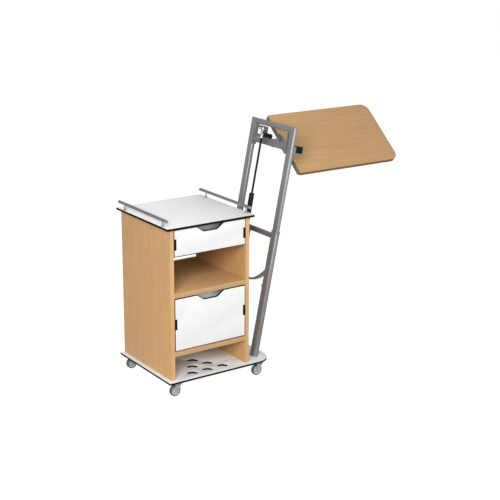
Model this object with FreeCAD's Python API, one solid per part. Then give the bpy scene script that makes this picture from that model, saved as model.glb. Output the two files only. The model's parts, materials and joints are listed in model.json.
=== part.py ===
import FreeCAD, Part
import math
import os

os.makedirs("parts", exist_ok=True)

# ---------------------------------------------------------------------------
# Bedside cabinet on castors with a raked telescopic side frame that carries a
# tilting over-bed tabletop.  Work coordinates, mm: x to the right from the
# left edge of the top plate, y to the rear from its front edge, z up from the
# upper face of the base plate.  Every node is shifted on export so that the
# origin lies on the floor under the centre of the overall box.
# ---------------------------------------------------------------------------

# cabinet body
TOP_W, TOP_D, TOP_T = 450.0, 454.0, 10.0
PANEL_T = 19.0
BODY_X0, BODY_X1 = 19.5, 430.0
BODY_Y0, BODY_Y1 = 14.6, 441.0
BODY_H = 689.0
INNER_X0, INNER_X1 = BODY_X0 + PANEL_T, BODY_X1 - PANEL_T
BACK_T = 8.0
BACK_Y0 = BODY_Y1 - BACK_T - 3.0
SHELF_T = 22.0
SHELF_TOP = 400.0
FLOOR_SHELF_TOP = 130.5
LEDGE_W, LEDGE_H, LEDGE_D = 112.0, 10.5, 46.0
LEDGE_Z0 = 553.5

# base plate and floor
BASE_T = 9.0
BASE_X0, BASE_X1 = -2.0, 553.0
BASE_Y0, BASE_Y1 = -10.0, 447.0
BASE_R = 80.0
FLOOR_Z = -75.0
VENT_APEXES = [(229, 179), (189, 115), (270, 115), (150, 52), (229, 52), (310, 52)]
VENT_LEG, VENT_W = 18.0, 18.0

# fronts and drawers
FRONT_T = 10.0
FRONT_GAP = 1.6
DRAWER_Z0, DRAWER_Z1 = 565.5, 686.0
PULL_Z0, PULL_Z1 = 134.0, 375.5
GRIP_TOP_W, GRIP_LOW_W, GRIP_DEPTH = 142.0, 68.0, 25.0
SCOOP_HALF, SCOOP_D = 72.0, 24.0
CATCH_W, CATCH_H = 11.0, 44.0
CATCH_OFFSET = {"drawer": -5.5, "pullout": 3.0}
BOX_SIDE_GAP = 13.0
BOX_Y1 = 400.0
BOX_WALL = 3.0

# gallery
RAIL_D, RAIL_INSET, RAIL_H = 14.0, 10.0, 28.0
RAIL_Y0, RAIL_Y1 = 20.0, 440.0
POST_Y = (55.0, 388.0)

# castors
WHEEL_D, WHEEL_W, HUB_D, AXLE_D = 50.0, 18.0, 38.0, 6.0
TRAIL = 18.0
CASTOR_XY = {"front_left": (56.0, 20.0), "front_right": (495.0, 20.0),
             "rear_left": (56.0, 412.0), "rear_right": (495.0, 412.0)}
KINGPIN_D = 8.0
PLATE_HOLE = 12.5

# raked side frame: s runs up along the legs, n across the frame plane
RAKE = 11.44
FOOT_X = 497.0
LEG_Y = (69.4, 373.0)
MID_Y = (LEG_Y[0] + LEG_Y[1]) / 2.0
OUT_N, OUT_Y, OUT_R = 25.0, 45.0, 11.0
IN_N, IN_Y, IN_R = 20.0, 40.0, 9.0
WALL = 2.0
OUT_TOP = 590.0
IN_LOW, IN_TOP = 300.0, 1074.0
TOPBAR_H = 26.0
CROSS_S0, CROSS_S1 = 963.0, 997.0
LOWBAR_S0, LOWBAR_S1 = 557.0, 579.0
STRAP_S, STRAP_K, STRAP_T = 334.0, 0.0037, 8.0

# gas spring
GAS_N, GAS_Y = -27.0, 264.0
GAS_ROD_D, GAS_CYL_D = 10.0, 24.0
GAS_CYL_S0, GAS_CYL_S1 = 428.0, 730.0
GAS_ROD_S0, HEAD_S = 690.0, 989.0

# tabletop
PIVOT_Y, PIVOT_Z = 221.0, 950.0
TILT = 41.0
BOARD_X0, BOARD_X1, BOARD_W, BOARD_T = 768.0, 1368.0, 350.0, 18.0
BOARD_DROP = 8.5
EDGE_RAIL_HALF = 168.0
PIVOT_D = 18.0

SHIFT = FreeCAD.Vector(-(BASE_X0 + BOARD_X1) / 2.0, -(BASE_Y0 + TOP_D) / 2.0, -FLOOR_Z)
X_AXIS = FreeCAD.Vector(1, 0, 0)
Y_AXIS = FreeCAD.Vector(0, 1, 0)
Z_AXIS = FreeCAD.Vector(0, 0, 1)


def vec(x, y, z):
    return FreeCAD.Vector(x, y, z)


def box(x0, x1, y0, y1, z0, z1):
    return Part.makeBox(x1 - x0, y1 - y0, z1 - z0, vec(x0, y0, z0))


def cyl(radius, length, start, direction):
    return Part.makeCylinder(radius, length, start, direction)


def along(edge, axis):
    """True for a straight edge that runs parallel to the given axis."""
    if not isinstance(edge.Curve, (Part.Line, Part.LineSegment)):
        return False
    ends = [v.Point for v in edge.Vertexes]
    step = ends[1].sub(ends[0])
    return abs(abs(step.dot(axis)) - step.Length) < 1e-6


def rounded(shape, radius, axis):
    return shape.makeFillet(radius, [e for e in shape.Edges if along(e, axis)])


def prism(points, direction):
    """Closed polygon of 3-D points pushed along a vector."""
    wire = Part.makePolygon(points + [points[0]])
    return Part.Face(wire).extrude(direction)


def group(shapes):
    return Part.makeCompound(shapes)


def rake(shape):
    """Stand a piece drawn in frame coordinates (n, y, s) onto the leaning frame."""
    placed = shape.copy()
    placed.rotate(vec(0, 0, 0), Y_AXIS, RAKE)
    placed.translate(vec(FOOT_X, 0, 0))
    return placed


def tilt(shape):
    """Turn a piece drawn level about the pivot axis to its resting tilt."""
    placed = shape.copy()
    placed.rotate(vec(0, 0, 0), X_AXIS, TILT)
    placed.translate(vec(0, PIVOT_Y, PIVOT_Z))
    return placed


def save(name, shape):
    out = shape.copy()
    out.translate(SHIFT)
    out.exportStep("parts/" + name + ".step")


def mirror_x(shape):
    """Mirror about the cabinet's middle plane."""
    return shape.mirror(vec((BODY_X0 + BODY_X1) / 2.0, 0, 0), X_AXIS)


def mirror_frame(shape):
    """Mirror about the middle plane between the two legs."""
    return shape.mirror(vec(0, MID_Y, 0), Y_AXIS)


# ---------------------------------------------------------------------------
# base plate with vent chevrons
# ---------------------------------------------------------------------------
def chevron(apex_x, apex_y):
    """Two-legged slot with round ends; its point faces the rear right."""
    legs = []
    for angle in (178.0, 298.0):
        leg = box(0, VENT_LEG, -VENT_W / 2, VENT_W / 2, -BASE_T - 1, 1)
        for end in (0, VENT_LEG):
            leg = leg.fuse(cyl(VENT_W / 2, BASE_T + 2, vec(end, 0, -BASE_T - 1), Z_AXIS))
        leg.rotate(vec(0, 0, 0), Z_AXIS, angle)
        leg.translate(vec(apex_x, apex_y, 0))
        legs.append(leg)
    return legs[0].fuse(legs[1])


PANEL_SCREWS = [(x, y) for x in (BODY_X0 + PANEL_T / 2, BODY_X1 - PANEL_T / 2) for y in (90.0, 365.0)]
FOOT_BOLTS = [(FOOT_X + 2.0, y) for y in LEG_Y]


def base_plate():
    plate = box(BASE_X0, BASE_X1, BASE_Y0, BASE_Y1, -BASE_T, 0)
    right = [e for e in plate.Edges if along(e, Z_AXIS) and e.Vertexes[0].X > 100]
    plate = plate.makeFillet(BASE_R, right)
    left = [e for e in plate.Edges if along(e, Z_AXIS) and e.Vertexes[0].X < 0]
    plate = plate.makeFillet(3.0, left)
    for apex in VENT_APEXES:
        plate = plate.cut(chevron(*apex))
    for x, y in PANEL_SCREWS:
        plate = plate.cut(cyl(2.6, BASE_T + 2, vec(x, y, -BASE_T - 1), Z_AXIS))
    for x, y in FOOT_BOLTS:
        plate = plate.cut(cyl(4.2, BASE_T + 2, vec(x, y, -BASE_T - 1), Z_AXIS))
    return plate


def head_screw(x, y, radius, length, head_r, head_h):
    """Screw driven upward from under the base plate."""
    shank = cyl(radius, length, vec(x, y, -BASE_T), Z_AXIS)
    head = cyl(head_r, head_h, vec(x, y, -BASE_T - head_h), Z_AXIS)
    return head.fuse(shank)


save("base_plate", base_plate())
base_screws = [head_screw(x, y, 2.4, 32.0, 5.5, 3.0) for x, y in PANEL_SCREWS]
base_screws += [head_screw(x, y, 4.0, 34.0, 7.5, 5.0) for x, y in FOOT_BOLTS]

# ---------------------------------------------------------------------------
# carcass
# ---------------------------------------------------------------------------
left_panel = box(BODY_X0, INNER_X0, BODY_Y0, BODY_Y1, 0, BODY_H)
for x, y in PANEL_SCREWS[:2]:
    left_panel = left_panel.cut(cyl(2.6, 26.0, vec(x, y, -1), Z_AXIS))
save("left_side_panel", left_panel)
save("right_side_panel", mirror_x(left_panel))
save("back_panel", box(INNER_X0, INNER_X1, BACK_Y0, BACK_Y0 + BACK_T, 0, BODY_H))
save("middle_shelf", box(INNER_X0, INNER_X1, BODY_Y0, BACK_Y0, SHELF_TOP - SHELF_T, SHELF_TOP))
save("bottom_shelf", box(INNER_X0, INNER_X1, BODY_Y0, BACK_Y0,
                         FLOOR_SHELF_TOP - SHELF_T, FLOOR_SHELF_TOP))
save("top_plate", rounded(box(0, TOP_W, 0, TOP_D, BODY_H, BODY_H + TOP_T), 3.0, Z_AXIS))
save("drawer_ledge", box(INNER_X0, INNER_X0 + LEDGE_W, BODY_Y0, BODY_Y0 + LEDGE_D,
                         LEDGE_Z0, LEDGE_Z0 + LEDGE_H))

# ---------------------------------------------------------------------------
# gallery on the top plate: one bar on two posts at each side
# ---------------------------------------------------------------------------
PLATE_Z = BODY_H + TOP_T


def gallery_bar(x):
    bar = cyl(RAIL_D / 2, RAIL_Y1 - RAIL_Y0, vec(x, RAIL_Y0, PLATE_Z + RAIL_H), Y_AXIS)
    rims = [e for e in bar.Edges if isinstance(e.Curve, Part.Circle)]
    return bar.makeFillet(1.5, rims)


def gallery_post(x, y):
    stem = cyl(4.0, RAIL_H, vec(x, y, PLATE_Z), Z_AXIS)
    foot = cyl(7.5, 3.0, vec(x, y, PLATE_Z), Z_AXIS)
    bar = cyl(RAIL_D / 2, RAIL_Y1 - RAIL_Y0, vec(x, RAIL_Y0, PLATE_Z + RAIL_H), Y_AXIS)
    return stem.fuse(foot).cut(bar)


RAIL_X = (RAIL_INSET, TOP_W - RAIL_INSET)
save("gallery_bars", group([gallery_bar(x) for x in RAIL_X]))
save("gallery_posts", group([gallery_post(x, y) for x in RAIL_X for y in POST_Y]))

# ---------------------------------------------------------------------------
# drawer and deep pull-out: front, box, runners, corner catches
# ---------------------------------------------------------------------------
FRONT_X0, FRONT_X1 = INNER_X0 + FRONT_GAP, INNER_X1 - FRONT_GAP
MID_X = (INNER_X0 + INNER_X1) / 2.0
BOX_X0, BOX_X1 = INNER_X0 + BOX_SIDE_GAP, INNER_X1 - BOX_SIDE_GAP
BOX_Y0 = BODY_Y0 + FRONT_T


def grip_notch(top_z):
    """Hand-hold cut-out: wide at the top edge, narrower below, soft corners."""
    half_top, half_low = GRIP_TOP_W / 2, GRIP_LOW_W / 2
    y = BODY_Y0 - 1
    points = [vec(MID_X - half_top, y, top_z + 1), vec(MID_X - half_low, y, top_z - GRIP_DEPTH),
              vec(MID_X + half_low, y, top_z - GRIP_DEPTH), vec(MID_X + half_top, y, top_z + 1)]
    cut = prism(points, vec(0, FRONT_T + 2, 0))
    low = [e for e in cut.Edges if along(e, Y_AXIS) and e.Vertexes[0].Z < top_z - GRIP_DEPTH + 1]
    return cut.makeFillet(12.0, low)


def front_panel(z0, z1, catch_z):
    panel = box(FRONT_X0, FRONT_X1, BODY_Y0, BODY_Y0 + FRONT_T, z0, z1)
    panel = panel.cut(grip_notch(z1))
    lips = [e for e in panel.Edges if along(e, Y_AXIS) and abs(e.Vertexes[0].Z - z1) < 0.01
            and abs(e.Vertexes[0].X - MID_X) < GRIP_TOP_W]
    panel = panel.makeFillet(16.0, lips)
    for x0, x1 in ((FRONT_X0 - 5, INNER_X0 + CATCH_W), (INNER_X1 - CATCH_W, FRONT_X1 + 5)):
        panel = panel.cut(box(x0, x1, BODY_Y0 - 1, BODY_Y0 + FRONT_T + 1,
                              catch_z - CATCH_H / 2, catch_z + CATCH_H / 2))
    return panel


def tray(z0, z1, front_top):
    """Moulded box with a finger scoop let into its front wall behind the hand-hold."""
    outer = rounded(box(BOX_X0, BOX_X1, BOX_Y0, BOX_Y1, z0, z1), 6.0, Z_AXIS)
    inner = rounded(box(BOX_X0 + BOX_WALL, BOX_X1 - BOX_WALL, BOX_Y0 + BOX_WALL, BOX_Y1 - BOX_WALL,
                        z0 + BOX_WALL, z1 + 1), 4.0, Z_AXIS)
    scoop_z0, scoop_z1 = front_top - GRIP_DEPTH - 22.0, front_top - 3.0
    shell = box(MID_X - SCOOP_HALF - BOX_WALL, MID_X + SCOOP_HALF + BOX_WALL, BOX_Y0,
                BOX_Y0 + SCOOP_D + BOX_WALL, scoop_z0 - BOX_WALL, scoop_z1)
    pocket = box(MID_X - SCOOP_HALF, MID_X + SCOOP_HALF, BOX_Y0 - 1, BOX_Y0 + SCOOP_D, scoop_z0, scoop_z1 + 1)
    return outer.cut(inner).fuse(shell).cut(pocket).removeSplitter()


def cabinet_runner(mid_z):
    """Channel screwed to the inside of the left panel."""
    web = box(INNER_X0, INNER_X0 + 1.5, 42, 418, mid_z - 22.5, mid_z + 22.5)
    upper = box(INNER_X0, INNER_X0 + 9.5, 42, 418, mid_z + 21.0, mid_z + 22.5)
    lower = box(INNER_X0, INNER_X0 + 9.5, 42, 418, mid_z - 22.5, mid_z - 21.0)
    return web.fuse([upper, lower]).removeSplitter()


def box_runner(mid_z):
    """Inner channel screwed to the side of the box; it slides in the cabinet channel."""
    web = box(BOX_X0 - 1.5, BOX_X0, 42, 398, mid_z - 20.0, mid_z + 20.0)
    upper = box(BOX_X0 - 10.0, BOX_X0, 42, 398, mid_z + 18.5, mid_z + 20.0)
    lower = box(BOX_X0 - 10.0, BOX_X0, 42, 398, mid_z - 20.0, mid_z - 18.5)
    return web.fuse([upper, lower]).removeSplitter()


def corner_catch(mid_z):
    """Black plastic end block that fills the side notch of the front."""
    z0, z1 = mid_z - CATCH_H / 2 + 0.3, mid_z + CATCH_H / 2 - 0.3
    block = rounded(box(INNER_X0 + 1.0, INNER_X0 + CATCH_W - 0.3, BODY_Y0 - 0.8, 41.0, z0, z1), 1.2, Y_AXIS)
    foot = box(INNER_X0 + CATCH_W - 1.5, BOX_X0, BOX_Y0 + 6.0, 41.0, z0 + 4, z1 - 4)
    return block.fuse(foot).removeSplitter()


def both_sides(shape):
    return group([shape, mirror_x(shape)])


runner_channels = []
for name, z0, z1, box_z0, box_z1 in (("drawer", DRAWER_Z0, DRAWER_Z1, 574.0, 659.0),
                                     ("pullout", PULL_Z0, PULL_Z1, 143.0, 348.0)):
    mid = (z0 + z1) / 2.0
    catch_z = mid + CATCH_OFFSET[name]
    save(name + "_front", front_panel(z0, z1, catch_z))
    save(name + "_tray", tray(box_z0, box_z1, z1))
    save(name + "_box_runners", both_sides(box_runner(mid)))
    save(name + "_catches", both_sides(corner_catch(catch_z)))
    runner_channels += [cabinet_runner(mid), mirror_x(cabinet_runner(mid))]
save("cabinet_runners", group(runner_channels))

# ---------------------------------------------------------------------------
# four swivel castors
# ---------------------------------------------------------------------------
WHEEL_Z = FLOOR_Z + WHEEL_D / 2
CROWN_Z0, CROWN_Z1 = -21.5, -17.0


def castor_plate(x, y):
    """Top plate with ball race and kingpin."""
    plate = rounded(box(x - 18, x + 18, y - 18, y + 18, -BASE_T - 2.5, -BASE_T), 4.0, Z_AXIS)
    race = cyl(14.0, 5.0, vec(x, y, CROWN_Z1 + 0.5), Z_AXIS)
    pin = cyl(KINGPIN_D / 2, 14.0, vec(x, y, CROWN_Z0 - 1.5), Z_AXIS)
    foot = cyl(KINGPIN_D / 2 + 1.5, 1.2, vec(x, y, CROWN_Z0 - 1.5), Z_AXIS)
    plate = plate.fuse([race, pin, foot])
    for dx in (-PLATE_HOLE, PLATE_HOLE):
        for dy in (-PLATE_HOLE, PLATE_HOLE):
            plate = plate.cut(cyl(2.1, 3.5, vec(x + dx, y + dy, -BASE_T - 3.0), Z_AXIS))
    return plate.removeSplitter()


def castor_screws(x, y):
    screws = []
    for dx in (-PLATE_HOLE, PLATE_HOLE):
        for dy in (-PLATE_HOLE, PLATE_HOLE):
            head = cyl(3.2, 1.4, vec(x + dx, y + dy, -BASE_T - 3.9), Z_AXIS)
            shank = cyl(1.9, 2.5, vec(x + dx, y + dy, -BASE_T - 2.5), Z_AXIS)
            screws.append(head.fuse(shank))
    return screws


def castor_fork(x, y):
    """Crown disc with two cheeks that reach back to the riveted axle."""
    wx = x - TRAIL
    cheek_y = WHEEL_W / 2 + 1.6
    crown = cyl(15.5, CROWN_Z1 - CROWN_Z0, vec(x, y, CROWN_Z0), Z_AXIS)
    bridge = box(wx - 4, x + 4, y - cheek_y - 2.2, y + cheek_y + 2.2, CROWN_Z0, CROWN_Z1)
    fork = crown.fuse(bridge)
    for sign in (-1, 1):
        y0 = y + sign * cheek_y if sign > 0 else y - cheek_y - 2.2
        outline = [vec(wx - 6.0, y0, WHEEL_Z), vec(wx - 4.0, y0, -30.0), vec(wx + 3, y0, CROWN_Z1),
                   vec(x + 8, y0, CROWN_Z1), vec(x + 8, y0, CROWN_Z0 - 2), vec(wx + 6.0, y0, WHEEL_Z)]
        cheek = prism(outline, vec(0, 2.2, 0))
        fork = fork.fuse([cheek, cyl(6.5, 2.2, vec(wx, y0, WHEEL_Z), Y_AXIS)])
    fork = fork.cut(cyl(KINGPIN_D / 2 + 0.08, 10, vec(x, y, CROWN_Z0 - 1), Z_AXIS))
    reach = cheek_y + 2.2
    fork = fork.fuse(cyl(AXLE_D / 2, 2 * reach, vec(wx, y - reach, WHEEL_Z), Y_AXIS))
    for start in (y - reach - 1.6, y + reach):
        fork = fork.fuse(cyl(4.5, 1.6, vec(wx, start, WHEEL_Z), Y_AXIS))
    return fork.removeSplitter()


def wheel_hub(x, y):
    wx = x - TRAIL
    half = WHEEL_W / 2
    hub = cyl(HUB_D / 2, WHEEL_W - 3, vec(wx, y - half + 1.5, WHEEL_Z), Y_AXIS)
    for start in (y - half + 1.5, y + half - 4.0):
        ring = cyl(HUB_D / 2 - 3, 2.5, vec(wx, start, WHEEL_Z), Y_AXIS)
        hub = hub.cut(ring.cut(cyl(7.5, 2.5, vec(wx, start, WHEEL_Z), Y_AXIS)))
    hub = hub.fuse(cyl(7.5, WHEEL_W, vec(wx, y - half, WHEEL_Z), Y_AXIS))
    return hub.cut(cyl(AXLE_D / 2 + 0.08, 40, vec(wx, y - 20, WHEEL_Z), Y_AXIS)).removeSplitter()


def wheel_tyre(x, y):
    wx = x - TRAIL
    half = WHEEL_W / 2
    ring = cyl(WHEEL_D / 2, WHEEL_W, vec(wx, y - half, WHEEL_Z), Y_AXIS)
    rims = [e for e in ring.Edges if isinstance(e.Curve, Part.Circle)]
    ring = ring.makeFillet(3.0, rims)
    return ring.cut(cyl(HUB_D / 2, 40, vec(wx, y - 20, WHEEL_Z), Y_AXIS))


save("castor_plates", group([castor_plate(*xy) for xy in CASTOR_XY.values()]))
save("base_screws", group(base_screws + [s for xy in CASTOR_XY.values() for s in castor_screws(*xy)]))
for corner, xy in CASTOR_XY.items():
    save("castor_fork_" + corner, castor_fork(*xy))
    save("castor_hub_" + corner, wheel_hub(*xy))
    save("castor_tyre_" + corner, wheel_tyre(*xy))

# ---------------------------------------------------------------------------
# raked lower frame: two outer leg tubes, cross rail, curved strap
# ---------------------------------------------------------------------------
ABOVE_BASE = box(0, 2000, -200, 800, 0, 2000)


def oval_bar(n_size, y_size, radius, y_mid, s0, s1):
    bar = box(-n_size / 2, n_size / 2, y_mid - y_size / 2, y_mid + y_size / 2, s0, s1)
    return rounded(bar, radius, Z_AXIS)


def outer_leg(y_mid):
    """Tube with a solid threaded foot, cut level where it stands on the base plate."""
    body = oval_bar(OUT_N, OUT_Y, OUT_R, y_mid, -20, OUT_TOP)
    bore = oval_bar(OUT_N - 2 * WALL, OUT_Y - 2 * WALL, OUT_R - WALL, y_mid, 42, OUT_TOP + 1)
    leg = rake(body.cut(bore)).common(ABOVE_BASE)
    return leg.cut(cyl(4.1, 30, vec(FOOT_BOLTS[0][0], y_mid, -1), Z_AXIS))


def guide_collar(y_mid):
    """Plastic sleeve on the mouth of the outer leg; the upright runs through it."""
    body = oval_bar(OUT_N + 2, OUT_Y + 2, OUT_R + 1.0, y_mid, OUT_TOP - 6, OUT_TOP + 4)
    seat = oval_bar(OUT_N + 0.1, OUT_Y + 0.1, OUT_R + 0.05, y_mid, OUT_TOP - 10, OUT_TOP)
    hole = oval_bar(IN_N + 0.8, IN_Y + 0.8, IN_R + 0.4, y_mid, OUT_TOP - 10, OUT_TOP + 10)
    return rake(body.cut(seat).cut(hole))


FACE_OUT_0 = LEG_Y[0] + OUT_Y / 2
FACE_OUT_1 = LEG_Y[1] - OUT_Y / 2
COPE = 11.0


def between_legs(bar):
    """Cope both ends of a cross member around the rounded leg tubes."""
    for y_mid in LEG_Y:
        bar = bar.cut(oval_bar(OUT_N, OUT_Y, OUT_R, y_mid, -20, OUT_TOP))
    return bar


def low_rail():
    y0, y1 = FACE_OUT_0 - COPE, FACE_OUT_1 + COPE
    bar = rounded(box(-10, 10, y0, y1, LOWBAR_S0, LOWBAR_S1), 3.0, Y_AXIS)
    bore = rounded(box(-8, 8, y0 - 1, y1 + 1, LOWBAR_S0 + 2, LOWBAR_S1 - 2), 1.5, Y_AXIS)
    return rake(between_legs(bar.cut(bore)))


def curved_strap():
    """Flat bar that hangs in a curve between the inner faces of the legs."""
    steps = 12
    y0, y1 = FACE_OUT_0 - COPE, FACE_OUT_1 + COPE
    ys = [y0 + (y1 - y0) * i / steps for i in range(steps + 1)]
    upper, lower = [], []
    for y in ys:
        s = STRAP_S + STRAP_K * (y - MID_Y) ** 2
        slope = math.atan(2 * STRAP_K * (y - MID_Y))
        rise = STRAP_T / 2 / math.cos(slope)
        upper.append(vec(-12.5, y, s + rise))
        lower.append(vec(-12.5, y, s - rise))
    top_curve = Part.BSplineCurve()
    top_curve.interpolate(upper)
    low_curve = Part.BSplineCurve()
    low_curve.interpolate(lower)
    edges = [top_curve.toShape(), Part.makeLine(upper[-1], lower[-1]),
             low_curve.toShape(), Part.makeLine(lower[0], upper[0])]
    face = Part.Face(Part.Wire(Part.sortEdges(edges)[0]))
    return rake(between_legs(face.extrude(vec(25, 0, 0))))


def leg_screw(s, radius, height):
    return rake(cyl(radius, height, vec(0, FACE_OUT_0, s), Y_AXIS))


save("outer_legs", group([outer_leg(y) for y in LEG_Y]))
save("guide_collars", group([guide_collar(y) for y in LEG_Y]))
save("lower_cross_rail", low_rail())
save("curved_strap", curved_strap())
screws = [leg_screw(372, 3.0, 2.5), leg_screw(352, 3.0, 2.5), leg_screw(329, 6.0, 8.0)]
save("leg_guide_screws", group(screws + [mirror_frame(s) for s in screws]))

# ---------------------------------------------------------------------------
# telescopic upper frame
# ---------------------------------------------------------------------------
FACE_IN_0 = LEG_Y[0] + IN_Y / 2
FACE_IN_1 = LEG_Y[1] - IN_Y / 2
EDGE_IN_0 = LEG_Y[0] - IN_Y / 2
EDGE_IN_1 = LEG_Y[1] + IN_Y / 2
MITRE = prism([vec(-30, EDGE_IN_0, IN_TOP), vec(-30, FACE_IN_0, IN_TOP - TOPBAR_H),
               vec(-30, FACE_IN_1, IN_TOP - TOPBAR_H), vec(-30, EDGE_IN_1, IN_TOP)],
              vec(60, 0, 0))


def upright():
    """Front upright: oval profile with a guide groove along its inner side."""
    y_mid = LEG_Y[0]
    body = oval_bar(IN_N, IN_Y, IN_R, y_mid, IN_LOW, IN_TOP)
    bore = box(-8, 8, y_mid - 18, y_mid + 13, IN_LOW - 1, IN_TOP - TOPBAR_H - 4)
    body = body.cut(rounded(bore, 5.0, Z_AXIS))
    body = body.cut(box(-6.0, 3.5, FACE_IN_0 - 5.5, FACE_IN_0 + 1, IN_LOW - 1, CROSS_S0 - 20))
    return body.cut(MITRE)


def top_bar():
    bar = box(-IN_N / 2, IN_N / 2, EDGE_IN_0, EDGE_IN_1, IN_TOP - TOPBAR_H, IN_TOP)
    bar = rounded(bar, IN_R, Y_AXIS)
    bore = box(-8, 8, FACE_IN_0 + 6, FACE_IN_1 - 6, IN_TOP - TOPBAR_H + 2, IN_TOP - 2)
    return rake(bar.common(MITRE).cut(rounded(bore, 5.0, Y_AXIS)))


END_T = 5.0


def end_plate():
    """Flat that ties the top bar, the cross rail and the front upright together."""
    plate = box(-15, 9, FACE_IN_0, FACE_IN_0 + END_T, CROSS_S0 - 12, IN_TOP - TOPBAR_H - 1)
    return rounded(plate, 2.0, X_AXIS)


def cross_rail():
    y0, y1 = FACE_IN_0 + END_T, FACE_IN_1 - END_T
    bar = rounded(box(-10, 10, y0, y1, CROSS_S0, CROSS_S1), 3.0, Y_AXIS)
    bore = rounded(box(-8, 8, y0 - 1, y1 + 1, CROSS_S0 + 2, CROSS_S1 - 2), 1.5, Y_AXIS)
    return rake(bar.cut(bore))


save("front_upright", rake(upright()))
save("rear_upright", rake(mirror_frame(upright())))
save("frame_top_bar", top_bar())
save("upper_cross_rail", cross_rail())
save("frame_end_plates", group([rake(end_plate()), rake(mirror_frame(end_plate()))]))

# ---------------------------------------------------------------------------
# stop bracket beside the tabletop, on the front upright
# ---------------------------------------------------------------------------
STOP_S, STOP_N0, STOP_N1 = 960.0, 27.0, 61.5


def stop_bracket():
    """Shelf with a riser on the outer side of the upright; it carries the stop block."""
    y_mid = LEG_Y[0]
    riser = box(IN_N / 2, STOP_N0, y_mid - 9, y_mid + 9, STOP_S, STOP_S + 27)
    shelf = box(IN_N / 2, STOP_N1 + 5, y_mid - 17, y_mid + 17, STOP_S - 6, STOP_S)
    shelf = rounded(shelf, 3.0, Z_AXIS)
    return rake(riser.fuse(shelf).removeSplitter())


def stop_block():
    y_mid = LEG_Y[0]
    block = box(STOP_N0, STOP_N1, y_mid - 14, y_mid + 14, STOP_S, STOP_S + 30)
    return rake(block.makeFillet(2.5, block.Edges))


save("stop_bracket", stop_bracket())
save("stop_block", stop_block())

# ---------------------------------------------------------------------------
# gas spring: cylinder on the lower frame, rod and release head on the upper
# ---------------------------------------------------------------------------
GAS = vec(GAS_N, GAS_Y, 0)


def gas_point(s):
    return vec(GAS_N, GAS_Y, s)


def gas_cylinder():
    body = cyl(GAS_CYL_D / 2, GAS_CYL_S1 - GAS_CYL_S0, gas_point(GAS_CYL_S0), Z_AXIS)
    rims = [e for e in body.Edges if isinstance(e.Curve, Part.Circle)]
    body = body.makeFillet(1.5, rims)
    body = body.cut(cyl(GAS_CYL_D / 2 - 2, GAS_CYL_S1 - GAS_CYL_S0 - 24, gas_point(GAS_CYL_S0 + 12), Z_AXIS))
    body = body.cut(cyl(GAS_ROD_D / 2 + 0.08, 40, gas_point(GAS_CYL_S1 - 30), Z_AXIS))
    stud = cyl(4.0, 18, gas_point(GAS_CYL_S0 - 18), Z_AXIS)
    return rake(body.fuse(stud))


def gas_carrier():
    """Strip that hangs from the lower cross rail with a shelf for the cylinder stud."""
    strip = box(-14.0, -10.0, GAS_Y - 18, GAS_Y + 18, GAS_CYL_S0 - 18, LOWBAR_S1 - 2)
    shelf = box(GAS_N - 16, -10.0, GAS_Y - 18, GAS_Y + 18, GAS_CYL_S0 - 10, GAS_CYL_S0 - 5)
    carrier = strip.fuse(shelf).cut(cyl(4.1, 30, gas_point(GAS_CYL_S0 - 20), Z_AXIS))
    return rake(carrier.removeSplitter())


def gas_nuts():
    """Hexagon nuts that clamp the lower stud on its shelf."""
    nuts = []
    for s in (GAS_CYL_S0 - 5, GAS_CYL_S0 - 15):
        corners = []
        for i in range(6):
            turn = math.radians(60 * i)
            corners.append(vec(GAS_N + 7.5 * math.cos(turn), GAS_Y + 7.5 * math.sin(turn), s))
        nut = prism(corners, vec(0, 0, 5.0))
        nuts.append(rake(nut.cut(cyl(4.05, 10, gas_point(s - 1), Z_AXIS))))
    return group(nuts)


def gas_rod():
    return rake(cyl(GAS_ROD_D / 2, HEAD_S + 6.5 - GAS_ROD_S0, gas_point(GAS_ROD_S0), Z_AXIS))


LEVER_Y, LEVER_S, LEVER_PIN_R = 260.0, 1009.0, 2.5
GRIP_Y0, GRIP_Y1, GRIP_R = 193.0, 242.0, 10.5
HEAD_R, HEAD_TOP = 8.5, 1034.0


def release_bracket():
    """Plate on the cross rail, two arms and the slotted release head on the rod end."""
    plate = rounded(box(-14, -10, 246, 340, CROSS_S0 + 2, IN_TOP - TOPBAR_H - 2), 5.0, X_AXIS)
    window = rounded(box(-15, -9, 292, 328, CROSS_S1 + 8, IN_TOP - TOPBAR_H - 14), 4.0, X_AXIS)
    plate = plate.cut(window)
    head = cyl(HEAD_R, HEAD_TOP - HEAD_S, gas_point(HEAD_S), Z_AXIS)
    cap = cyl(5.5, 7.0, gas_point(HEAD_TOP), Z_AXIS)
    low_arm = rounded(box(GAS_N - 12, -10, 252, 288, HEAD_S, HEAD_S + 5), 3.0, Z_AXIS)
    high_arm = rounded(box(GAS_N - 10, -10, 256, 284, HEAD_TOP - 4, HEAD_TOP), 3.0, Z_AXIS)
    body = plate.fuse([head, cap, low_arm, high_arm])
    body = body.cut(box(GAS_N - 4.5, GAS_N + 4.5, 250, 268.5, LEVER_S - 11, LEVER_S + 14))
    body = body.cut(cyl(GAS_ROD_D / 2 + 0.1, 12, gas_point(HEAD_S - 5), Z_AXIS))
    body = body.cut(cyl(LEVER_PIN_R + 0.08, 60, vec(-50, LEVER_Y, LEVER_S), X_AXIS))
    return rake(body.removeSplitter())


def release_pin():
    pin = cyl(LEVER_PIN_R, 18.5, vec(GAS_N - 10.0, LEVER_Y, LEVER_S), X_AXIS)
    return rake(pin.fuse(cyl(3.6, 1.3, vec(GAS_N - 10.0, LEVER_Y, LEVER_S), X_AXIS)))


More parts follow.
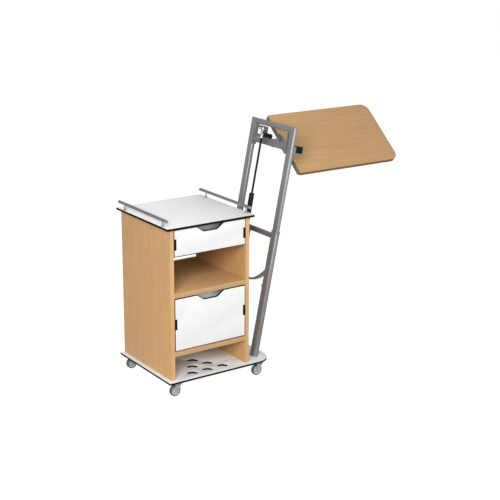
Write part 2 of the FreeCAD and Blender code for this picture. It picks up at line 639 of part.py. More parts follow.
def release_lever():
    """Arm on its pin in the slot of the head, with the spindle inside the grip."""
    arm = box(GAS_N - 4, GAS_N + 4, GRIP_Y1 + 1, 266.0, LEVER_S - 5, LEVER_S + 5)
    arm = rounded(arm, 4.5, X_AXIS)
    spindle = cyl(4.0, GRIP_Y1 + 6 - GRIP_Y0 - 6, vec(GAS_N, GRIP_Y0 + 6, LEVER_S), Y_AXIS)
    arm = arm.fuse(spindle)
    return rake(arm.cut(cyl(LEVER_PIN_R + 0.08, 40, vec(-50, LEVER_Y, LEVER_S), X_AXIS)))


def release_grip():
    grip = cyl(GRIP_R, GRIP_Y1 - GRIP_Y0, vec(GAS_N, GRIP_Y0, LEVER_S), Y_AXIS)
    rims = [e for e in grip.Edges if isinstance(e.Curve, Part.Circle)]
    grip = grip.makeFillet(3.0, rims)
    return rake(grip.cut(cyl(4.05, GRIP_Y1 - GRIP_Y0, vec(GAS_N, GRIP_Y0 + 5.9, LEVER_S), Y_AXIS)))


def bracket_bolts():
    """Domed bolts that hold the release bracket to the cross rail and end plate."""
    bolts = []
    for y, s, r in ((306.0, CROSS_S0 + 17, 5.0), (330.0, CROSS_S0 + 17, 5.0), (336.0, 1012.0, 3.2)):
        head = cyl(r, 4.0, vec(-18, y, s), X_AXIS)
        rim = [e for e in head.Edges if isinstance(e.Curve, Part.Circle) and e.Vertexes[0].X < -17]
        bolts.append(rake(head.makeFillet(1.5, rim)))
    return group(bolts)


save("gas_cylinder", gas_cylinder())
save("gas_carrier", gas_carrier())
save("gas_nuts", gas_nuts())
save("gas_rod", gas_rod())
save("release_bracket", release_bracket())
save("release_pin", release_pin())
save("release_lever", release_lever())
save("release_grip", release_grip())
save("bracket_bolts", bracket_bolts())

# ---------------------------------------------------------------------------
# tabletop: pivot housing on the cross rail, shaft with carrier, edge rail, board
# ---------------------------------------------------------------------------
RAIL_WEB_X0, RAIL_WEB_X1 = BOARD_X0 - 3.2, BOARD_X0 - 0.2
BOARD_TOP, BOARD_LOW = -BOARD_DROP, -BOARD_DROP - BOARD_T
CARRIER_X0 = RAIL_WEB_X0 - 8.0


def pivot_housing():
    """Tube on the outer face of the cross rail with a collar at its mouth."""
    tube = cyl(13.0, 70.0, vec(680.0, PIVOT_Y, PIVOT_Z), X_AXIS)
    tube = tube.fuse(cyl(15.5, 6.0, vec(744.0, PIVOT_Y, PIVOT_Z), X_AXIS))
    web = box(680.0, 735.0, PIVOT_Y - 3, PIVOT_Y + 3, PIVOT_Z + 8, PIVOT_Z + 24)
    behind = rake(box(-300, IN_N / 2, PIVOT_Y - 60, PIVOT_Y + 60, 700, 1200))
    body = tube.fuse(web).cut(behind)
    return body.cut(cyl(PIVOT_D / 2 + 0.08, 200, vec(650, PIVOT_Y, PIVOT_Z), X_AXIS)).removeSplitter()


def pivot_shaft():
    """Shaft drawn level about the pivot axis, with a thrust washer head."""
    shaft = cyl(PIVOT_D / 2, CARRIER_X0 + 8 - 706.0, vec(706.0, 0, 0), X_AXIS)
    return tilt(shaft)


def carrier():
    """Plate between the shaft and the tabletop's edge rail."""
    plate = rounded(box(CARRIER_X0, RAIL_WEB_X0, -48, 48, BOARD_LOW - 2, 14), 10.0, X_AXIS)
    boss = cyl(14.0, 4.0, vec(CARRIER_X0 - 4, 0, 0), X_AXIS)
    plate = plate.fuse(boss)
    return tilt(plate.cut(cyl(PIVOT_D / 2 + 0.02, 20, vec(CARRIER_X0 - 6, 0, 0), X_AXIS)))


def edge_rail():
    """Angle that carries the board: upright web on its left edge, flange under it."""
    web = box(RAIL_WEB_X0, RAIL_WEB_X1, -EDGE_RAIL_HALF, EDGE_RAIL_HALF, BOARD_LOW - 2.2, BOARD_TOP - 1.0)
    low = box(RAIL_WEB_X0, BOARD_X0 + 30, -EDGE_RAIL_HALF, EDGE_RAIL_HALF, BOARD_LOW - 2.2, BOARD_LOW)
    return tilt(web.fuse(low).removeSplitter())


def tabletop():
    board = box(BOARD_X0, BOARD_X1, -BOARD_W / 2, BOARD_W / 2, BOARD_LOW, BOARD_TOP)
    right = [e for e in board.Edges if along(e, Z_AXIS) and e.Vertexes[0].X > BOARD_X1 - 1]
    board = board.makeFillet(45.0, right)
    left = [e for e in board.Edges if along(e, Z_AXIS) and e.Vertexes[0].X < BOARD_X0 + 1]
    return tilt(board.makeFillet(6.0, left))


def rail_screws():
    """Pan-head screws under the edge rail and carrier screws through its web side."""
    screws = []
    for v in (-120.0, -40.0, 40.0, 120.0):
        screws.append(tilt(cyl(4.5, 2.4, vec(BOARD_X0 + 19, v, BOARD_LOW - 4.6), Z_AXIS)))
    for v in (-34.0, 34.0):
        screws.append(tilt(cyl(5.0, 3.0, vec(CARRIER_X0 - 3, v, -17.0), X_AXIS)))
    return group(screws)


save("pivot_housing", pivot_housing())
save("pivot_shaft", pivot_shaft())
save("tilt_carrier", carrier())
save("edge_rail", edge_rail())
save("tabletop", tabletop())
save("rail_screws", rail_screws())
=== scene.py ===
import json
import math

import bmesh
import bpy
from mathutils import Matrix, Vector


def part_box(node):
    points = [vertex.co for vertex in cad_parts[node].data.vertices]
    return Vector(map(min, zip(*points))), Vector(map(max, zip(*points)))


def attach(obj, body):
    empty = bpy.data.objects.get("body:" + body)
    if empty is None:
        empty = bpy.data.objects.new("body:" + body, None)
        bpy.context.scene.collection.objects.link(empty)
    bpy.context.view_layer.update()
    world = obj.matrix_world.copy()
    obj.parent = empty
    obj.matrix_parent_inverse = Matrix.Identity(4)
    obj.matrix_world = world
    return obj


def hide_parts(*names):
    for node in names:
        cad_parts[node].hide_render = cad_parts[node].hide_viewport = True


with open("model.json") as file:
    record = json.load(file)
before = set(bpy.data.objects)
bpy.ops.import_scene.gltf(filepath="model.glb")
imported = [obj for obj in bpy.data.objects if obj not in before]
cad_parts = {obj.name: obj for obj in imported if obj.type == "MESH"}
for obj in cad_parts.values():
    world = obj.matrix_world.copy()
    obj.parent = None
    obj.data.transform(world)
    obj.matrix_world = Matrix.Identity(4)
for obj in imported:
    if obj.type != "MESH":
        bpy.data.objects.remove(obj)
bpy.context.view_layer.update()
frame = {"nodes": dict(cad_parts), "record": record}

NODES = frame["nodes"]
BODY_OF = {n: body for body, names in frame["record"]["behaviour"]["bodies"].items() for n in names}
SLOT_OF = {s["node"]: s["material_slot"] for s in frame["record"]["subparts"]}
CORNERS = ("front_left", "front_right", "rear_left", "rear_right")
TILT = math.radians(41.0)  # slope of the tabletop, as it rests
HEAD_Y, HEAD_REACH = 0.042, 0.0095  # depth of the release head, and how far it reaches from there


# ---------------------------------------------------------------------------
# material building blocks
# ---------------------------------------------------------------------------
class Finish:
    """A procedural material. Coordinates are the object's own, in metres, so they move with it."""

    def __init__(self, name, roughness=0.5, metallic=0.0, specular=0.5):
        self.material = bpy.data.materials.new(name)
        self.material.use_nodes = True
        self.tree = self.material.node_tree
        self.shader = next(n for n in self.tree.nodes if n.type == "BSDF_PRINCIPLED")
        self.shader.inputs["Roughness"].default_value = roughness
        self.shader.inputs["Metallic"].default_value = metallic
        self.shader.inputs["Specular IOR Level"].default_value = specular
        self.coords = self.tree.nodes.new("ShaderNodeTexCoord")

    def node(self, kind, **settings):
        made = self.tree.nodes.new(kind)
        for key, value in settings.items():
            setattr(made, key, value)
        return made

    def link(self, source, target):
        self.tree.links.new(source, target)

    def place(self, stretch):
        mapping = self.node("ShaderNodeMapping")
        mapping.inputs["Scale"].default_value = stretch
        self.link(self.coords.outputs["Object"], mapping.inputs["Vector"])
        return mapping.outputs["Vector"]

    def noise(self, scale, detail, rough, stretch=(1, 1, 1), distortion=0.0):
        made = self.node("ShaderNodeTexNoise")
        made.inputs["Scale"].default_value = scale
        made.inputs["Detail"].default_value = detail
        made.inputs["Roughness"].default_value = rough
        made.inputs["Distortion"].default_value = distortion
        self.link(self.place(stretch), made.inputs["Vector"])
        return made.outputs["Fac"]

    def ramp(self, fac, stops):
        made = self.node("ShaderNodeValToRGB")
        elements = made.color_ramp.elements
        while len(elements) < len(stops):
            elements.new(0.5)
        for element, (position, colour) in zip(elements, stops):
            element.position = position
            element.color = (*colour, 1)
        self.link(fac, made.inputs["Fac"])
        return made.outputs["Color"]

    def spread(self, fac, low, high, to_low, to_high):
        """Carry the range low..high over to the range to_low..to_high."""
        made = self.node("ShaderNodeMapRange")
        for key, value in (("From Min", low), ("From Max", high), ("To Min", to_low), ("To Max", to_high)):
            made.inputs[key].default_value = value
        self.link(fac, made.inputs["Value"])
        return made.outputs["Result"]

    def mix(self, fac, a, b, blend="MIX"):
        made = self.node("ShaderNodeMix", data_type="RGBA", blend_type=blend)
        sockets = {s.identifier: s for s in made.inputs}
        for value, key in ((fac, "Factor_Float"), (a, "A_Color"), (b, "B_Color")):
            if isinstance(value, (int, float)):
                sockets[key].default_value = value
            elif isinstance(value, tuple):
                sockets[key].default_value = (*value, 1)
            else:
                self.link(value, sockets[key])
        return next(o for o in made.outputs if o.identifier == "Result_Color")

    def maths(self, operation, a, b=0.0):
        made = self.node("ShaderNodeMath", operation=operation)
        for value, socket in ((a, made.inputs[0]), (b, made.inputs[1])):
            if isinstance(value, (int, float)):
                socket.default_value = value
            else:
                self.link(value, socket)
        return made.outputs[0]

    def colour(self, socket):
        self.link(socket, self.shader.inputs["Base Color"])

    def roughness(self, socket):
        self.link(socket, self.shader.inputs["Roughness"])

    def bump(self, height, distance, strength):
        made = self.node("ShaderNodeBump")
        made.inputs["Strength"].default_value = strength
        made.inputs["Distance"].default_value = distance
        self.link(height, made.inputs["Height"])
        self.link(made.outputs["Normal"], self.shader.inputs["Normal"])


def toward(colour, factor):
    """The colour, darker (factor under 1) or lighter (factor over 1)."""
    return tuple(min(1.0, c * factor) for c in colour)


def along(grain, factor):
    """Scale that draws a noise out along the grain's axis."""
    return tuple(factor if axis == grain else 1 for axis in "XYZ")


def wood(name, grain, base):
    """Beech: straight fine grain, short pores and a slow drift of tone along the given axis."""
    made = Finish(name, roughness=0.42)
    streaks = made.noise(85.0, 4.0, 0.62, along(grain, 0.05), 0.35)
    lines = made.noise(420.0, 2.0, 0.55, along(grain, 0.05))
    drift = made.noise(5.0, 2.0, 0.5, along(grain, 0.35), 0.6)
    pores = made.noise(1150.0, 1.0, 0.5, along(grain, 0.10))
    colour = made.ramp(streaks, [(0.28, toward(base, 0.84)), (0.46, toward(base, 0.97)),
                                 (0.60, base), (0.78, toward(base, 1.07))])
    shade = made.ramp(lines, [(0.30, (0.90, 0.885, 0.86)), (0.62, (1, 1, 1))])
    colour = made.mix(0.75, colour, shade, "MULTIPLY")
    tone = made.ramp(drift, [(0.30, (0.93, 0.915, 0.89)), (0.70, (1.0, 1.0, 1.0))])
    colour = made.mix(0.8, colour, tone, "MULTIPLY")
    dots = made.ramp(pores, [(0.66, (1, 1, 1)), (0.76, (0.74, 0.66, 0.58))])
    colour = made.mix(0.55, colour, dots, "MULTIPLY")
    made.colour(colour)
    made.roughness(made.spread(lines, 0.3, 0.7, 0.50, 0.36))
    relief = made.maths("ADD", made.maths("MULTIPLY", lines, 0.6), made.maths("MULTIPLY", pores, -0.5))
    made.bump(relief, 0.00012, 0.6)
    return made.material


def laminate(name, base):
    """High-pressure laminate face: fine pearl texture, faint clouds and light wear."""
    made = Finish(name, roughness=0.40, specular=0.35)
    mottling = made.noise(14.0, 3.0, 0.6)
    grain = made.noise(900.0, 2.0, 0.6)
    faces = made.ramp(mottling, [(0.3, toward(base, 0.975)), (0.7, base)])
    wear = made.noise(60.0, 4.0, 0.7)
    faces = made.mix(made.spread(wear, 0.64, 0.82, 0.0, 0.09), faces, toward(base, 0.86))
    made.colour(faces)
    made.roughness(made.spread(grain, 0.3, 0.7, 0.36, 0.48))
    made.bump(grain, 0.00006, 0.5)
    return made.material


def layered_core(name, base, face_axis):
    """Cut edge of a laminated board: thin layers that run parallel to its faces."""
    made = Finish(name, roughness=0.62, specular=0.10)
    dot = made.node("ShaderNodeVectorMath", operation="DOT_PRODUCT")
    dot.inputs[1].default_value = face_axis
    made.link(made.coords.outputs["Object"], dot.inputs[0])
    layers = made.node("ShaderNodeTexNoise", noise_dimensions="1D")
    layers.inputs["Scale"].default_value = 2600.0
    made.link(dot.outputs["Value"], layers.inputs["W"])
    speck = made.noise(1400.0, 2.0, 0.6)
    colour = made.ramp(layers.outputs["Fac"], [(0.35, toward(base, 0.75)), (0.65, toward(base, 1.3))])
    dust = made.ramp(speck, [(0.35, (0.75, 0.75, 0.75)), (0.65, (1, 1, 1))])
    made.colour(made.mix(0.7, colour, dust, "MULTIPLY"))
    made.roughness(made.spread(speck, 0.3, 0.7, 0.55, 0.70))
    made.bump(layers.outputs["Fac"], 0.00005, 0.5)
    return made.material


def coated(name, base, roughness=0.36, metallic=0.35, peel=0.00010, specular=0.5):
    """Powder coat: orange peel, faint cloudiness and dust in it."""
    made = Finish(name, roughness=roughness, metallic=metallic, specular=specular)
    cloud = made.noise(22.0, 3.0, 0.6)
    speck = made.noise(1600.0, 1.0, 0.5)
    colour = made.ramp(cloud, [(0.28, toward(base, 0.90)), (0.72, toward(base, 1.07))])
    dust = made.ramp(speck, [(0.60, (1, 1, 1)), (0.72, (0.86, 0.86, 0.86))])
    made.colour(made.mix(0.6, colour, dust, "MULTIPLY"))
    skin = made.noise(520.0, 2.0, 0.5)
    made.roughness(made.spread(cloud, 0.3, 0.7, roughness - 0.05, roughness + 0.07))
    made.bump(skin, peel, 0.6)
    return made.material


def brushed(name, base, roughness=0.28):
    """Bright drawn steel: fine lines from front to back, slight smudges."""
    made = Finish(name, roughness=roughness, metallic=0.92)
    lines = made.noise(900.0, 3.0, 0.6, along("Y", 0.04))
    smudge = made.noise(35.0, 3.0, 0.6)
    colour = made.ramp(lines, [(0.3, toward(base, 0.86)), (0.7, toward(base, 1.08))])
    stain = made.ramp(smudge, [(0.35, (0.90, 0.90, 0.89)), (0.65, (1, 1, 1))])
    made.colour(made.mix(0.7, colour, stain, "MULTIPLY"))
    made.roughness(made.spread(smudge, 0.3, 0.7, roughness + 0.10, roughness - 0.05))
    made.bump(lines, 0.00003, 0.5)
    return made.material


def moulded(name, base, roughness=0.5, scale=1300.0, specular=0.5):
    """Moulded plastic with a spark-eroded texture."""
    made = Finish(name, roughness=roughness, specular=specular)
    texture = made.noise(scale, 2.0, 0.6)
    cloud = made.noise(40.0, 3.0, 0.5)
    colour = made.ramp(cloud, [(0.3, toward(base, 0.88)), (0.7, toward(base, 1.12))])
    fine = made.ramp(texture, [(0.35, (0.90, 0.90, 0.90)), (0.65, (1, 1, 1))])
    made.colour(made.mix(0.6, colour, fine, "MULTIPLY"))
    made.roughness(made.spread(texture, 0.3, 0.7, roughness - 0.06, roughness + 0.08))
    made.bump(texture, 0.00008, 0.5)
    return made.material


# Painted light and shade: BEECH_BOARD and BEECH_SHELF are a darkened and a lightened copy of the one beech.
BEECH = (0.57, 0.325, 0.137)
BEECH_BOARD = (0.468, 0.282, 0.128)
BEECH_SHELF = (0.70, 0.43, 0.20)
CORE_BLACK = (0.0045, 0.0043, 0.0040)
UP, FRONT = (0, 0, 1), (0, 1, 0)
BOARD_UP = (0.0, -math.sin(TILT), math.cos(TILT))
# Painted light and shade: the whites and beeches are lightened, darkened or tinted from part to part, to
# stand in for the light that each part gets.
MATERIALS = {
    "beech_upright": wood("beech_upright", "Z", BEECH),
    "beech_shelf": wood("beech_shelf", "X", BEECH_SHELF),
    "beech_edge": wood("beech_edge", "X", (0.46, 0.282, 0.132)),
    "beech_back": wood("beech_back", "Z", toward(BEECH, 1.05)),
    "beech_board": wood("beech_board", "X", BEECH_BOARD),
    # Painted shade: the tabletop's edge colour is dark brown to stand in for the shade on its edge faces.
    # Its thin layers are its own.
    "board_edge_painted_shade": layered_core("board_edge_painted_shade", (0.20, 0.115, 0.058), BOARD_UP),
    "laminate_top": laminate("laminate_top", (0.975, 0.97, 0.955)),
    "laminate_base": laminate("laminate_base", (0.79, 0.815, 0.84)),
    "laminate_front": laminate("laminate_front", (0.66, 0.66, 0.652)),
    "laminate_ledge": laminate("laminate_ledge", (0.74, 0.74, 0.73)),
    "core_flat": layered_core("core_flat", CORE_BLACK, UP),
    "core_front": layered_core("core_front", CORE_BLACK, FRONT),
    "frame_grey": coated("frame_grey", (0.195, 0.195, 0.193), 0.42, 0.35),
    "upright_grey": coated("upright_grey", (0.235, 0.235, 0.233), 0.40, 0.40),
    # Painted shade: rail_grey is a slightly darker copy of frame_grey for the cross rails.
    "rail_grey": coated("rail_grey", (0.185, 0.185, 0.187), 0.42, 0.35),
    "plate_light": coated("plate_light", (0.20, 0.20, 0.198), 0.40, 0.40),
    "bright_steel": brushed("bright_steel", (0.50, 0.50, 0.495)),
    "gallery_steel": brushed("gallery_steel", (0.33, 0.33, 0.325)),
    "bracket_steel": coated("bracket_steel", (0.17, 0.17, 0.172), 0.42, 0.45),
    "gas_black": coated("gas_black", (0.004, 0.004, 0.0045), 0.34, 0.0, 0.00004, 0.18),
    "plastic_black": moulded("plastic_black", (0.0045, 0.0045, 0.0045), specular=0.14),
    "collar_grey": moulded("collar_grey", (0.16, 0.16, 0.155)),
    "tray_grey": moulded("tray_grey", (0.27, 0.275, 0.28), 0.45),
    # Painted light: the pull-out tray's plastic is a lightened copy of the tray grey, to stand in for light
    # in the pocket behind its notch.
    "tray_painted_light": moulded("tray_painted_light", (0.40, 0.405, 0.41), 0.45),
    "castor_grey": moulded("castor_grey", (0.27, 0.27, 0.265), 0.42),
    "hub_light": moulded("hub_light", (0.50, 0.50, 0.49), 0.38),
    "tyre_grey": moulded("tyre_grey", (0.075, 0.075, 0.075), 0.65, 700.0),
}
NODE_MATERIAL = {
    "left_side_panel": "beech_upright", "right_side_panel": "beech_upright", "back_panel": "beech_back",
    "middle_shelf": "beech_shelf", "bottom_shelf": "beech_shelf", "tabletop": "beech_board",
    "base_plate": "laminate_base", "top_plate": "laminate_top",
    "drawer_front": "laminate_front", "pullout_front": "laminate_front", "drawer_ledge": "laminate_ledge",
    "gallery_bars": "gallery_steel", "gallery_posts": "gallery_steel", "release_bracket": "bracket_steel",
    # The cross rails get the darker rail grey, as painted shade.
    "lower_cross_rail": "rail_grey", "upper_cross_rail": "rail_grey", "curved_strap": "upright_grey",
    # The pull-out tray gets the lightened tray plastic, as painted light.
    "pullout_tray": "tray_painted_light",
}
# node: (axis of its two faces, material of every edge between them)
EDGE_OF = {
    "middle_shelf": (UP, "beech_edge"), "bottom_shelf": (UP, "beech_edge"),
    "base_plate": (UP, "core_flat"), "top_plate": (UP, "core_flat"),
    "drawer_front": (FRONT, "core_front"), "pullout_front": (FRONT, "core_front"),
    # The tabletop's edges get the painted shade of its dark brown edge material.
    "tabletop": (BOARD_UP, "board_edge_painted_shade"),
}
FACE_COSINE = 0.995  # a polygon nearer to its board's axis than this lies in a face, not in an edge


# ---------------------------------------------------------------------------
# pieces
# ---------------------------------------------------------------------------
WELD = 1e-6
FLAT = math.radians(0.5)  # faces that turn by less than this are one flat face
EDGE_TURN = math.radians(30.0)  # edges that turn by more than this are eased
CRISP_TURN = math.radians(38.0)  # edges of turned pieces that stay crisp


def material_of(node):
    return MATERIALS[NODE_MATERIAL.get(node, SLOT_OF[node])]


def dress(obj, material):
    """Every slot of the object gets the material."""
    if not obj.material_slots:
        obj.data.materials.append(material)
    for slot in obj.material_slots:
        slot.material = material


def repaint(mesh, material, chosen):
    """A second material for the polygons that the test picks."""
    mesh.materials.append(material)
    for polygon in mesh.polygons:
        if chosen(polygon):
            polygon.material_index = 1


def softened(node, width):
    """The node's own shape with its edges eased, as cut and edged stock has them."""
    mesh = NODES[node].data.copy()
    work = bmesh.new()
    work.from_mesh(mesh)
    bmesh.ops.remove_doubles(work, verts=work.verts, dist=WELD)
    bmesh.ops.dissolve_limit(work, angle_limit=FLAT, verts=work.verts, edges=work.edges,
                             use_dissolve_boundaries=False)
    work.to_mesh(mesh)
    work.free()
    mesh.materials.clear()
    piece = bpy.data.objects.new(node + "_eased", mesh)
    bpy.context.scene.collection.objects.link(piece)
    mesh.materials.append(material_of(node))
    bevel = piece.modifiers.new("eased", "BEVEL")
    bevel.width = width
    bevel.segments = 3
    bevel.limit_method = "ANGLE"
    bevel.angle_limit = EDGE_TURN
    bevel.harden_normals = True
    bevel.use_clamp_overlap = True
    for polygon in mesh.polygons:
        polygon.use_smooth = True
    bpy.context.view_layer.objects.active = piece
    for other in bpy.context.selected_objects:
        other.select_set(False)
    piece.select_set(True)
    bpy.ops.object.modifier_apply(modifier=bevel.name)
    if node in EDGE_OF:
        axis, edge = EDGE_OF[node]
        repaint(mesh, MATERIALS[edge], lambda p: abs(p.normal.dot(Vector(axis))) < FACE_COSINE)
    if node == "release_bracket":
        repaint(mesh, MATERIALS["bright_steel"], lambda p: abs(p.center.y - HEAD_Y) < HEAD_REACH)
    stand_for(piece, node)


def stand_for(piece, node):
    """The piece rides on the node's body, and is shown instead of it."""
    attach(piece, BODY_OF[node])
    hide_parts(node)


def lathe(name, profile, centre, material_rows):
    """Ring or disc turned about a Y axis. profile: closed list of (radius, y) pairs, metres.

    material_rows gives, for each run of the profile, the index of its material.
    """
    segments = 72
    mesh = bpy.data.meshes.new(name)
    verts, faces, rows = [], [], []
    count = len(profile)
    for i in range(segments):
        turn = 2 * math.pi * i / segments
        for radius, y in profile:
            verts.append((centre[0] + radius * math.cos(turn), centre[1] + y,
                          centre[2] + radius * math.sin(turn)))
    for i in range(segments):
        for j in range(count):
            k = (j + 1) % count
            a, b = i * count, ((i + 1) % segments) * count
            faces.append((a + j, a + k, b + k, b + j))
            rows.append(material_rows[j])
    mesh.from_pydata(verts, [], faces)
    work = bmesh.new()
    work.from_mesh(mesh)
    bmesh.ops.recalc_face_normals(work, faces=work.faces)
    work.to_mesh(mesh)
    work.free()
    for polygon, row in zip(mesh.polygons, rows):
        polygon.material_index = row
        polygon.use_smooth = True
    piece = bpy.data.objects.new(name, mesh)
    bpy.context.scene.collection.objects.link(piece)
    mark_sharp(mesh)
    return piece


def mark_sharp(mesh):
    """Edges that turn a lot stay crisp under smooth shading."""
    work = bmesh.new()
    work.from_mesh(mesh)
    for edge in work.edges:
        if len(edge.link_faces) == 2 and edge.calc_face_angle(0.0) > CRISP_TURN:
            edge.smooth = False
    work.to_mesh(mesh)
    work.free()


for name, obj in NODES.items():
    dress(obj, material_of(name))

# node: how wide its edges are eased, in metres. The fronts have a broad black chamfer.
EASED = {
    "left_side_panel": 0.0008, "right_side_panel": 0.0008, "back_panel": 0.0005, "middle_shelf": 0.0008,
    "bottom_shelf": 0.0008, "top_plate": 0.0007, "base_plate": 0.0007, "drawer_front": 0.0028,
    "pullout_front": 0.0028, "drawer_ledge": 0.0010, "tabletop": 0.0012, "edge_rail": 0.0005,
    "stop_bracket": 0.0006, "tilt_carrier": 0.0008, "frame_end_plates": 0.0006, "release_bracket": 0.0006,
    "outer_legs": 0.0005, "front_upright": 0.0005, "rear_upright": 0.0005, "frame_top_bar": 0.0005,
    "lower_cross_rail": 0.0006, "upper_cross_rail": 0.0006, "curved_strap": 0.0008, "guide_collars": 0.0008,
    "gallery_bars": 0.0008, "gallery_posts": 0.0004, "gas_carrier": 0.0006, "pivot_housing": 0.0006,
    "drawer_tray": 0.0008, "pullout_tray": 0.0008, "drawer_catches": 0.0006, "pullout_catches": 0.0006,
    "release_lever": 0.0004, "stop_block": 0.0003, "release_grip": 0.0003, "gas_cylinder": 0.0003,
}
for name, width in EASED.items():
    softened(name, width)


# ---------------------------------------------------------------------------
# castor wheels: tyre with a rounded tread, hub with rim, web, ribs and boss
# ---------------------------------------------------------------------------
HUB_SHARE = 0.76  # hub radius over wheel radius
SHOULDER = 0.0034  # rounding between the tyre's side and its tread
SHOULDER_STEPS = 6
SIDE_DISH = 0.0006  # the tyre's side falls back by this at the hub
PARTING_DEPTH, PARTING_HALF = 0.0004, 0.0012  # groove round the middle of the tread
BORE = 0.00308
BOSS, WEB = 0.0074, 0.0030  # radius of the boss, thickness of the web
RIM_WALL, RIM_SET, WEB_SET = 0.0034, 0.0015, 0.0042  # rim and web lie back from the hub's sides
RIM_ROUND, BOSS_ROUND, WEB_FILLET = 0.0005, 0.0006, 0.0012
RIB_COUNT, RIB_HALF = 6, 0.0011
BOX_QUADS = ((0, 1, 3, 2), (4, 6, 7, 5), (0, 4, 5, 1), (2, 3, 7, 6), (0, 2, 6, 4), (1, 5, 7, 3))


def shoulder_arc(radius, half, side):
    """Quarter round from the tyre's side to its tread; side is -1 or 1 along the axle."""
    arc = []
    for i in range(SHOULDER_STEPS + 1):
        turn = math.pi / 2 * i / SHOULDER_STEPS
        arc.append((radius - SHOULDER + SHOULDER * math.sin(turn),
                    side * (half - SHOULDER + SHOULDER * math.cos(turn))))
    return arc if side < 0 else list(reversed(arc))


def tyre(corner, centre, radius, half):
    inner, lip = radius * HUB_SHARE, radius - SHOULDER - SIDE_DISH
    profile = [(inner, SIDE_DISH - half), (lip, -half)]
    profile += shoulder_arc(radius, half, -1)
    profile += [(radius, -PARTING_HALF), (radius - PARTING_DEPTH, 0.0), (radius, PARTING_HALF)]
    profile += shoulder_arc(radius, half, 1)
    profile += [(lip, half), (inner, half - SIDE_DISH)]
    piece = lathe("tyre_" + corner, profile, centre, [0] * len(profile))
    dress(piece, MATERIALS["tyre_grey"])
    stand_for(piece, "castor_tyre_" + corner)


def hub(corner, centre, radius, half):
    rim = radius * HUB_SHARE
    lip = rim - RIM_WALL
    face, dish = half - RIM_SET, half - WEB_SET
    floor_y = dish - WEB * 0.3
    # (radius, height along the axle) and, in shades, 1 where the run is bright and 0 in the web
    side = [(BORE, half), (BOSS - BOSS_ROUND, half), (BOSS, half - BOSS_ROUND), (BOSS, dish),
            (BOSS + WEB_FILLET, floor_y), (lip - WEB_FILLET, floor_y), (lip, dish),
            (lip, face - RIM_ROUND), (lip + RIM_ROUND, face), (rim - RIM_ROUND, face),
            (rim, face - RIM_ROUND)]
    shades = [1, 1, 1, 0, 0, 0, 1, 1, 1, 1, 1]
    profile = side + [(r, -y) for r, y in reversed(side)]
    rows = shades[:-1] + [1] + list(reversed(shades[:-1])) + [1]
    piece = lathe("hub_" + corner, profile, centre, rows)
    dress(piece, MATERIALS["castor_grey"])
    piece.data.materials.append(MATERIALS["hub_light"])
    stand_for(piece, "castor_hub_" + corner)
    hub_ribs(corner, centre, lip, face, dish)


def hub_ribs(corner, centre, lip, face, dish):
    """Straight ribs on both sides of the web, from the boss to the rim."""
    spokes = bmesh.new()
    for i in range(RIB_COUNT):
        turn = Matrix.Translation(centre) @ Matrix.Rotation(2 * math.pi / RIB_COUNT * i, 4, "Y")
        for sign in (-1, 1):
            y0, y1 = sign * (dish - WEB * 0.5), sign * (face - WEB_FILLET)
            corners = [turn @ Vector((x, y, z))
                       for z in (BOSS - RIM_ROUND, lip + RIM_ROUND)
                       for y in (min(y0, y1), max(y0, y1))
                       for x in (-RIB_HALF, RIB_HALF)]
            verts = [spokes.verts.new(c) for c in corners]
            for quad in BOX_QUADS:
                spokes.faces.new([verts[q] for q in quad])
    bmesh.ops.recalc_face_normals(spokes, faces=spokes.faces)
    mesh = bpy.data.meshes.new("hub_ribs_" + corner)
    spokes.to_mesh(mesh)
    spokes.free()
    ribs = bpy.data.objects.new("hub_ribs_" + corner, mesh)
    bpy.context.scene.collection.objects.link(ribs)
    dress(ribs, MATERIALS["hub_light"])
    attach(ribs, "wheel_" + corner)


for corner in CORNERS:
    low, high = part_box("castor_tyre_" + corner)
    middle = (Vector(low) + Vector(high)) / 2
    wheel_radius, wheel_half = (high[0] - low[0]) / 2, (high[1] - low[1]) / 2
    tyre(corner, middle, wheel_radius, wheel_half)
    hub(corner, middle, wheel_radius, wheel_half)


# ---------------------------------------------------------------------------
# floor, light, camera
# ---------------------------------------------------------------------------
FLOOR_HALF = 60.0
FLOOR_GLOW, SKY_GLOW = 0.86, 0.56
CAMERA_PLACE = (-3.16316, -4.42833, 2.13670)
CAMERA_LENS, SENSOR_WIDTH, CLIP_END = 86.29, 36.0, 200.0
YAW, PITCH, ROLL = math.radians(34.6225), math.radians(16.574), math.radians(0.333)


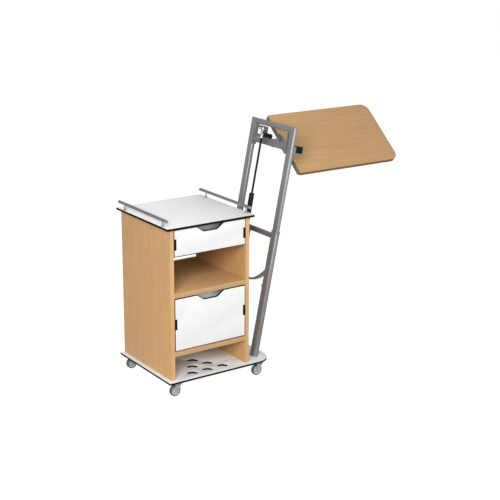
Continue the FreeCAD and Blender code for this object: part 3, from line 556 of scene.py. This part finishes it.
def floor():
    """Pale floor. It glows a little so that it reads as white, and sends no light to the object."""
    corners = [(-FLOOR_HALF, -FLOOR_HALF, 0), (FLOOR_HALF, -FLOOR_HALF, 0),
               (FLOOR_HALF, FLOOR_HALF, 0), (-FLOOR_HALF, FLOOR_HALF, 0)]
    mesh = bpy.data.meshes.new("floor")
    mesh.from_pydata(corners, [], [(0, 1, 2, 3)])
    obj = bpy.data.objects.new("floor", mesh)
    bpy.context.scene.collection.objects.link(obj)
    made = Finish("floor_white", roughness=0.9, specular=0.0)
    shade = made.noise(1.5, 2.0, 0.5)
    made.colour(made.ramp(shade, [(0.3, (0.27, 0.27, 0.27)), (0.7, (0.30, 0.30, 0.30))]))
    made.shader.inputs["Emission Color"].default_value = (1, 1, 1, 1)
    made.shader.inputs["Emission Strength"].default_value = FLOOR_GLOW
    obj.visible_diffuse = False
    obj.visible_glossy = False
    mesh.materials.append(made.material)


def sky():
    world = bpy.data.worlds.new("studio")
    world.use_nodes = True
    background = next(n for n in world.node_tree.nodes if n.type == "BACKGROUND")
    background.inputs["Color"].default_value = (1, 1, 1, 1)
    background.inputs["Strength"].default_value = SKY_GLOW
    bpy.context.scene.world = world


def area_light(name, place, aim, size, power):
    """Square lamp at a place, turned to a point; size in metres, power in watts."""
    data = bpy.data.lights.new(name, "AREA")
    data.shape = "SQUARE"
    data.size = size
    data.energy = power
    obj = bpy.data.objects.new(name, data)
    obj.location = place
    obj.rotation_mode = "QUATERNION"
    obj.rotation_quaternion = (Vector(aim) - Vector(place)).to_track_quat("-Z", "Y")
    bpy.context.scene.collection.objects.link(obj)


def camera():
    data = bpy.data.cameras.new("camera")
    data.sensor_width = SENSOR_WIDTH
    data.lens = CAMERA_LENS
    data.clip_end = CLIP_END
    obj = bpy.data.objects.new("camera", data)
    look = Vector((math.sin(YAW) * math.cos(PITCH), math.cos(YAW) * math.cos(PITCH), -math.sin(PITCH)))
    obj.rotation_mode = "QUATERNION"
    level = look.to_track_quat("-Z", "Y").to_matrix().to_4x4()
    obj.rotation_quaternion = (level @ Matrix.Rotation(ROLL, 4, "Z")).to_quaternion()
    obj.location = CAMERA_PLACE
    bpy.context.scene.collection.objects.link(obj)
    bpy.context.scene.camera = obj


floor()
sky()
area_light("key", (-3.9, -3.9, 2.8), (-0.2, 0, 0.6), 2.4, 300.0)
area_light("fill", (0.9, -4.6, 1.3), (-0.4, 0, 0.5), 2.2, 60.0)
camera()
bpy.context.scene.view_settings.view_transform = "Standard"
